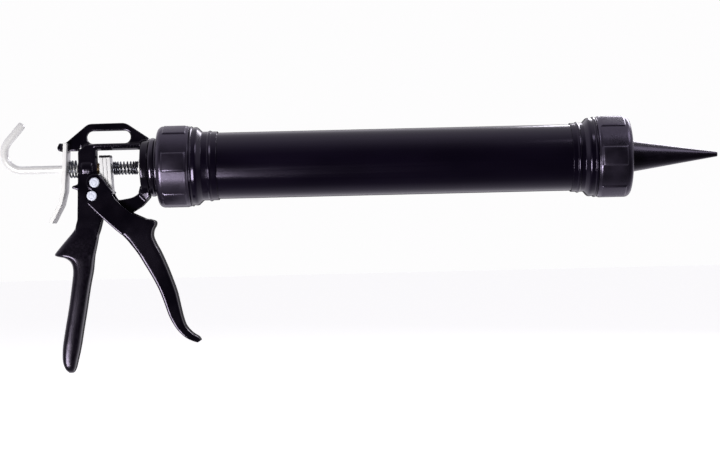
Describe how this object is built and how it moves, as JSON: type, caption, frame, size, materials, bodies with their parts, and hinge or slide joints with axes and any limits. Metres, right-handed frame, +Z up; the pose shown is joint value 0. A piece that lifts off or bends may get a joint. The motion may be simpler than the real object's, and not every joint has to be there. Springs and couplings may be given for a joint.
{
  "type": "caulking gun",
  "caption": "Long closed-barrel caulking gun for foil packs: screwed end caps, cone nozzle, lever trigger, friction plates and a hooked plunger rod.",
  "frame": {"origin": "centre of the nozzle's tip, on the barrel's axis", "axes": "+X along the barrel from the handle to the nozzle's tip, +Z up with the handle hanging down, +Y completes a right-handed frame; the gun is held upright"},
  "size_m": [0.5732, 0.067, 0.2016],
  "materials": {
    "powder_coat": "black powder coat on die-cast aluminium, glossy",
    "tube_paint": "black satin-gloss paint on aluminium tube",
    "cap_plastic": "black moulded plastic, fine matt texture",
    "nozzle_plastic": "black moulded plastic, satin",
    "zinc_steel": "bright zinc plate on steel",
    "bronze": "sintered bronze"
  },
  "bodies": {
    "frame": {"handle_casting": "powder_coat", "barrel_adaptor": "powder_coat", "adaptor_screw_1": "zinc_steel", "adaptor_screw_2": "zinc_steel", "adaptor_screw_3": "zinc_steel", "rod_bush": "bronze", "pivot_pin": "zinc_steel", "pivot_washer": "zinc_steel", "drive_spring": "zinc_steel", "catch_spring": "zinc_steel", "spring_washer": "zinc_steel"},
    "trigger_set": {"trigger": "powder_coat", "drive_pin": "zinc_steel", "drive_washer": "zinc_steel", "drive_roller": "zinc_steel"},
    "plate_stack": {"drive_plate_1": "zinc_steel", "drive_plate_2": "zinc_steel", "drive_plate_3": "zinc_steel"},
    "catch": {"catch_plate": "zinc_steel"},
    "plunger": {"plunger_rod": "zinc_steel", "piston": "cap_plastic", "piston_front_washer": "zinc_steel", "piston_back_washer": "zinc_steel", "piston_front_nut": "zinc_steel", "piston_back_nut": "zinc_steel"},
    "rear_ring": {"rear_cap": "cap_plastic"},
    "barrel": {"barrel_tube": "tube_paint", "front_collar": "tube_paint", "rear_collar": "tube_paint"},
    "nozzle_cone": {"nozzle": "nozzle_plastic"},
    "front_ring": {"front_cap": "cap_plastic"}
  },
  "joints": [
    {"name": "trigger_pivot", "type": "hinge", "parent": "frame", "child": "trigger_set", "pos_m": [-0.4991, 0, -0.0218], "axis": [0, 1, 0], "range_deg": [0, 30], "stiffness_Nm_per_rad": 1, "springref_deg": -14.32},
    {"name": "drive_slide", "type": "slide", "parent": "frame", "child": "plate_stack", "axis": [1, 0, 0], "range_m": [0, 0.0052], "deforming": ["drive_spring"]},
    {"name": "catch_pivot", "type": "hinge", "parent": "frame", "child": "catch", "pos_m": [-0.5215, 0, 0.01745], "axis": [0, 1, 0], "range_deg": [-7, 0], "stiffness_Nm_per_rad": 0.3, "springref_deg": 11.46, "deforming": ["catch_spring"]},
    {"name": "rod_slide", "type": "slide", "parent": "frame", "child": "plunger", "axis": [1, 0, 0], "range_m": [-0.31, 0.025]},
    {"name": "rear_cap_spin", "type": "hinge", "parent": "frame", "child": "rear_ring", "pos_m": [-0.4465, 0, 0], "axis": [1, 0, 0], "range_deg": [-1621, 0]},
    {"name": "barrel_slide", "type": "slide", "parent": "frame", "child": "barrel", "axis": [1, 0, 0], "range_m": [0, 0.0225]},
    {"name": "nozzle_slide", "type": "slide", "parent": "barrel", "child": "nozzle_cone", "axis": [1, 0, 0], "range_m": [0, 0.0225]},
    {"name": "front_cap_spin", "type": "hinge", "parent": "nozzle_cone", "child": "front_ring", "pos_m": [-0.071, 0, 0], "axis": [1, 0, 0], "range_deg": [0, 1621]}
  ],
  "couplings": [
    {"joint": "drive_slide", "follows": "trigger_pivot", "m_per_rad": 0.00974},
    {"joint": "rear_cap_spin", "follows": "barrel_slide", "rad_per_m": -1256.6},
    {"joint": "front_cap_spin", "follows": "nozzle_slide", "rad_per_m": 1256.6}
  ]
}
